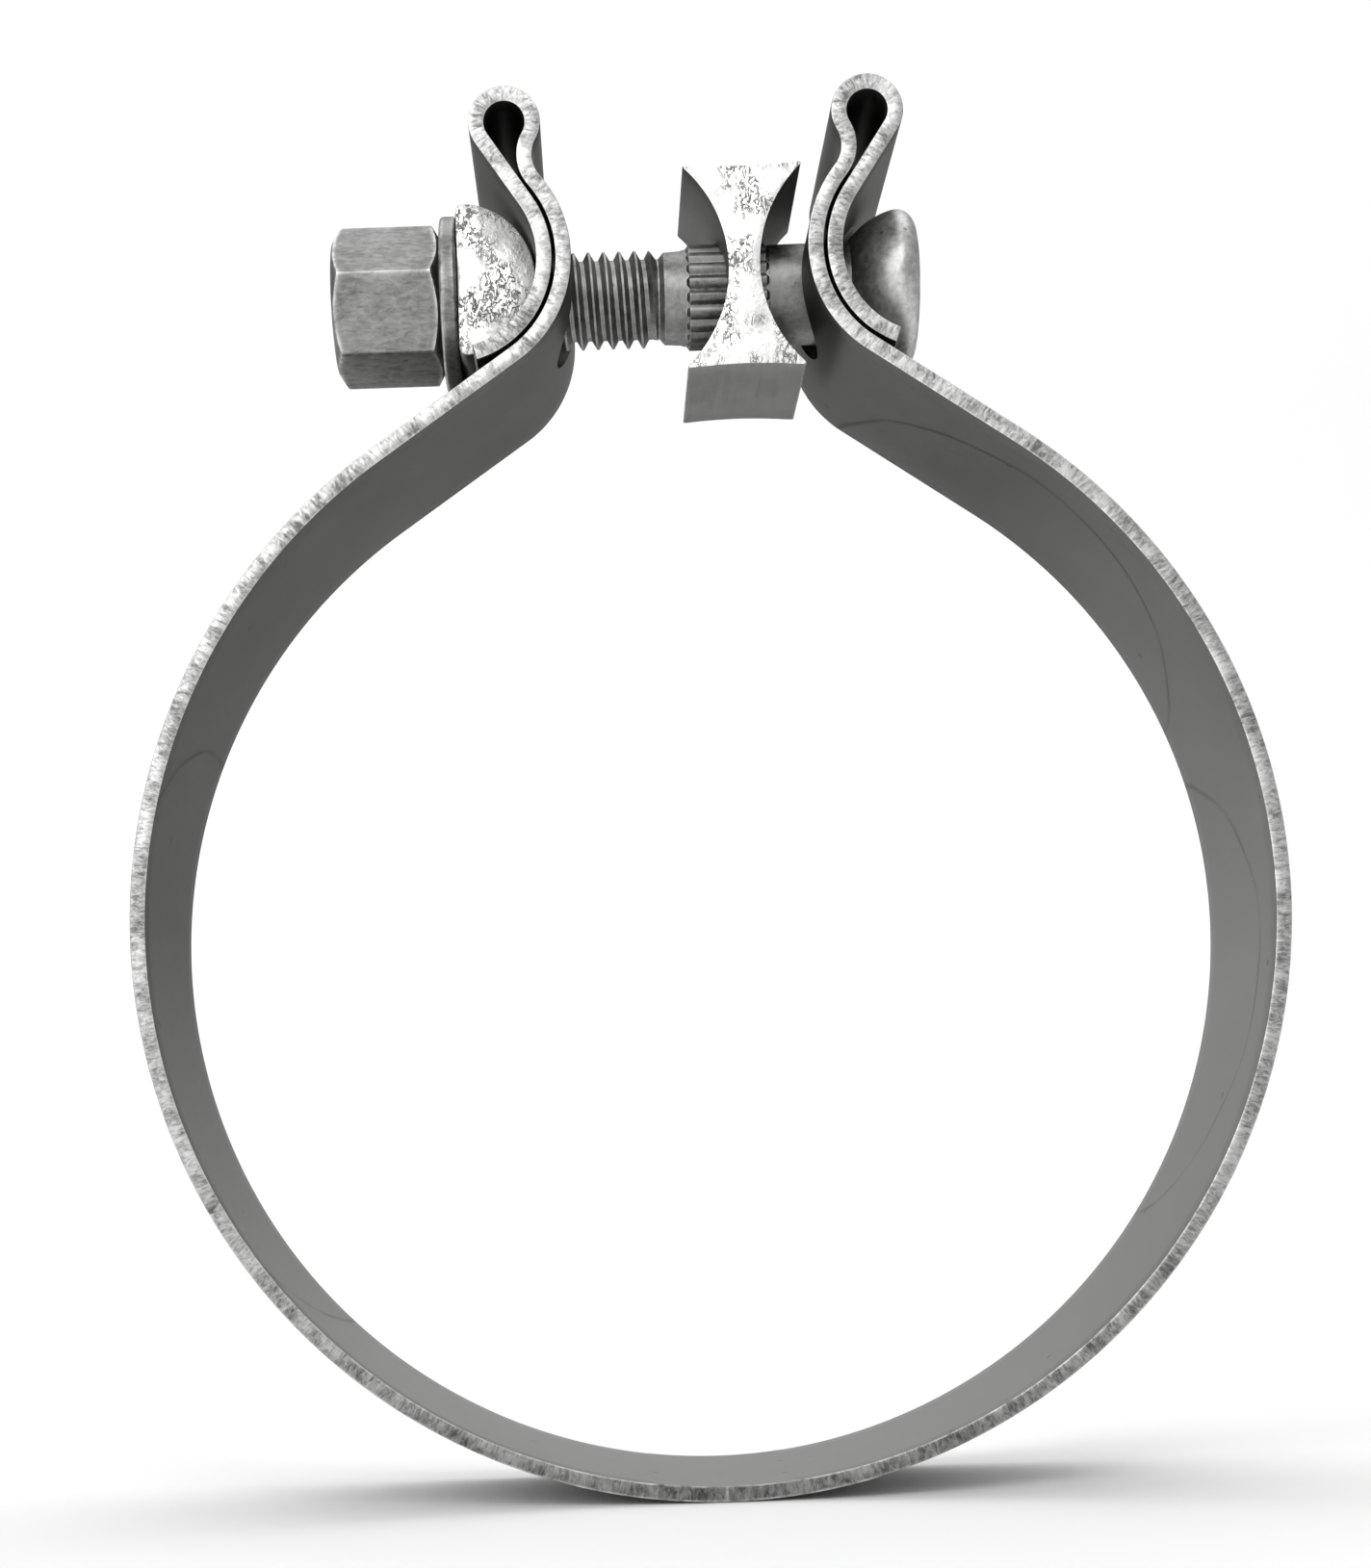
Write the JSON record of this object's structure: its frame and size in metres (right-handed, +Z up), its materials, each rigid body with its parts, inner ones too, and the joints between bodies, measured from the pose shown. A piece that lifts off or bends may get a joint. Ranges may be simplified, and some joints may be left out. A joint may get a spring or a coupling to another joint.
{
  "type": "pipe clamp",
  "caption": "Flat-band pipe clamp: a folded steel strip drawn closed round a pipe by one bolt, with a half-round seat block and an hourglass spacer.",
  "frame": {"origin": "centre of the clamped pipe, half way along the strip's width", "axes": "+Y along the pipe, +Z up through the middle of the gap, +X along the bolt from the nut to the head"},
  "size_m": [0.132, 0.032, 0.1612],
  "materials": {
    "strip_steel": "satin",
    "bolt_steel": "zinc, dull",
    "nut_steel": "zinc, satin",
    "block_steel": "sawn ends, satin sides"
  },
  "bodies": {
    "lower": {"band_lower": "strip_steel"},
    "left": {"band_left": "strip_steel"},
    "right": {"band_right": "strip_steel"},
    "bolt": {"bolt": "bolt_steel"},
    "spacer": {"spacer": "block_steel"},
    "seat_block": {"seat_block": "block_steel"},
    "washer": {"washer": "nut_steel"},
    "nut": {"nut": "nut_steel"}
  },
  "joints": [
    {"name": "right_flex", "type": "hinge", "parent": "lower", "child": "right", "pos_m": [0.05564, 0, -0.03213], "axis": [0, -1, 0], "range_deg": [0, 5]},
    {"name": "left_flex", "type": "hinge", "parent": "lower", "child": "left", "pos_m": [-0.05564, 0, -0.03213], "axis": [0, 1, 0], "range_deg": [0, 5]},
    {"name": "head_swivel", "type": "hinge", "parent": "right", "child": "bolt", "pos_m": [0.0276, 0, 0.076], "axis": [0, 1, 0], "range_deg": [0, 5]},
    {"name": "spacer_slide", "type": "slide", "parent": "bolt", "child": "spacer", "axis": [1, 0, 0], "range_m": [0, 0.00282]},
    {"name": "block_slide", "type": "slide", "parent": "bolt", "child": "seat_block", "axis": [1, 0, 0], "range_m": [0, 0.01863]},
    {"name": "nut_turn", "type": "hinge", "parent": "seat_block", "child": "nut", "pos_m": [-0.0353, 0, 0.076], "axis": [1, 0, 0], "range_deg": [0, 3697.46]},
    {"name": "washer_spin", "type": "hinge", "parent": "seat_block", "child": "washer", "pos_m": [-0.02785, 0, 0.076], "axis": [1, 0, 0], "continuous": true}
  ],
  "couplings": [
    {"joint": "right_flex", "follows": "nut_turn", "ratio": 0.0013523},
    {"joint": "left_flex", "follows": "nut_turn", "ratio": 0.0013523},
    {"joint": "head_swivel", "follows": "nut_turn", "ratio": 0.0013523},
    {"joint": "spacer_slide", "follows": "nut_turn", "m_per_rad": 0.000043652},
    {"joint": "block_slide", "follows": "nut_turn", "m_per_rad": 0.00028875}
  ]
}
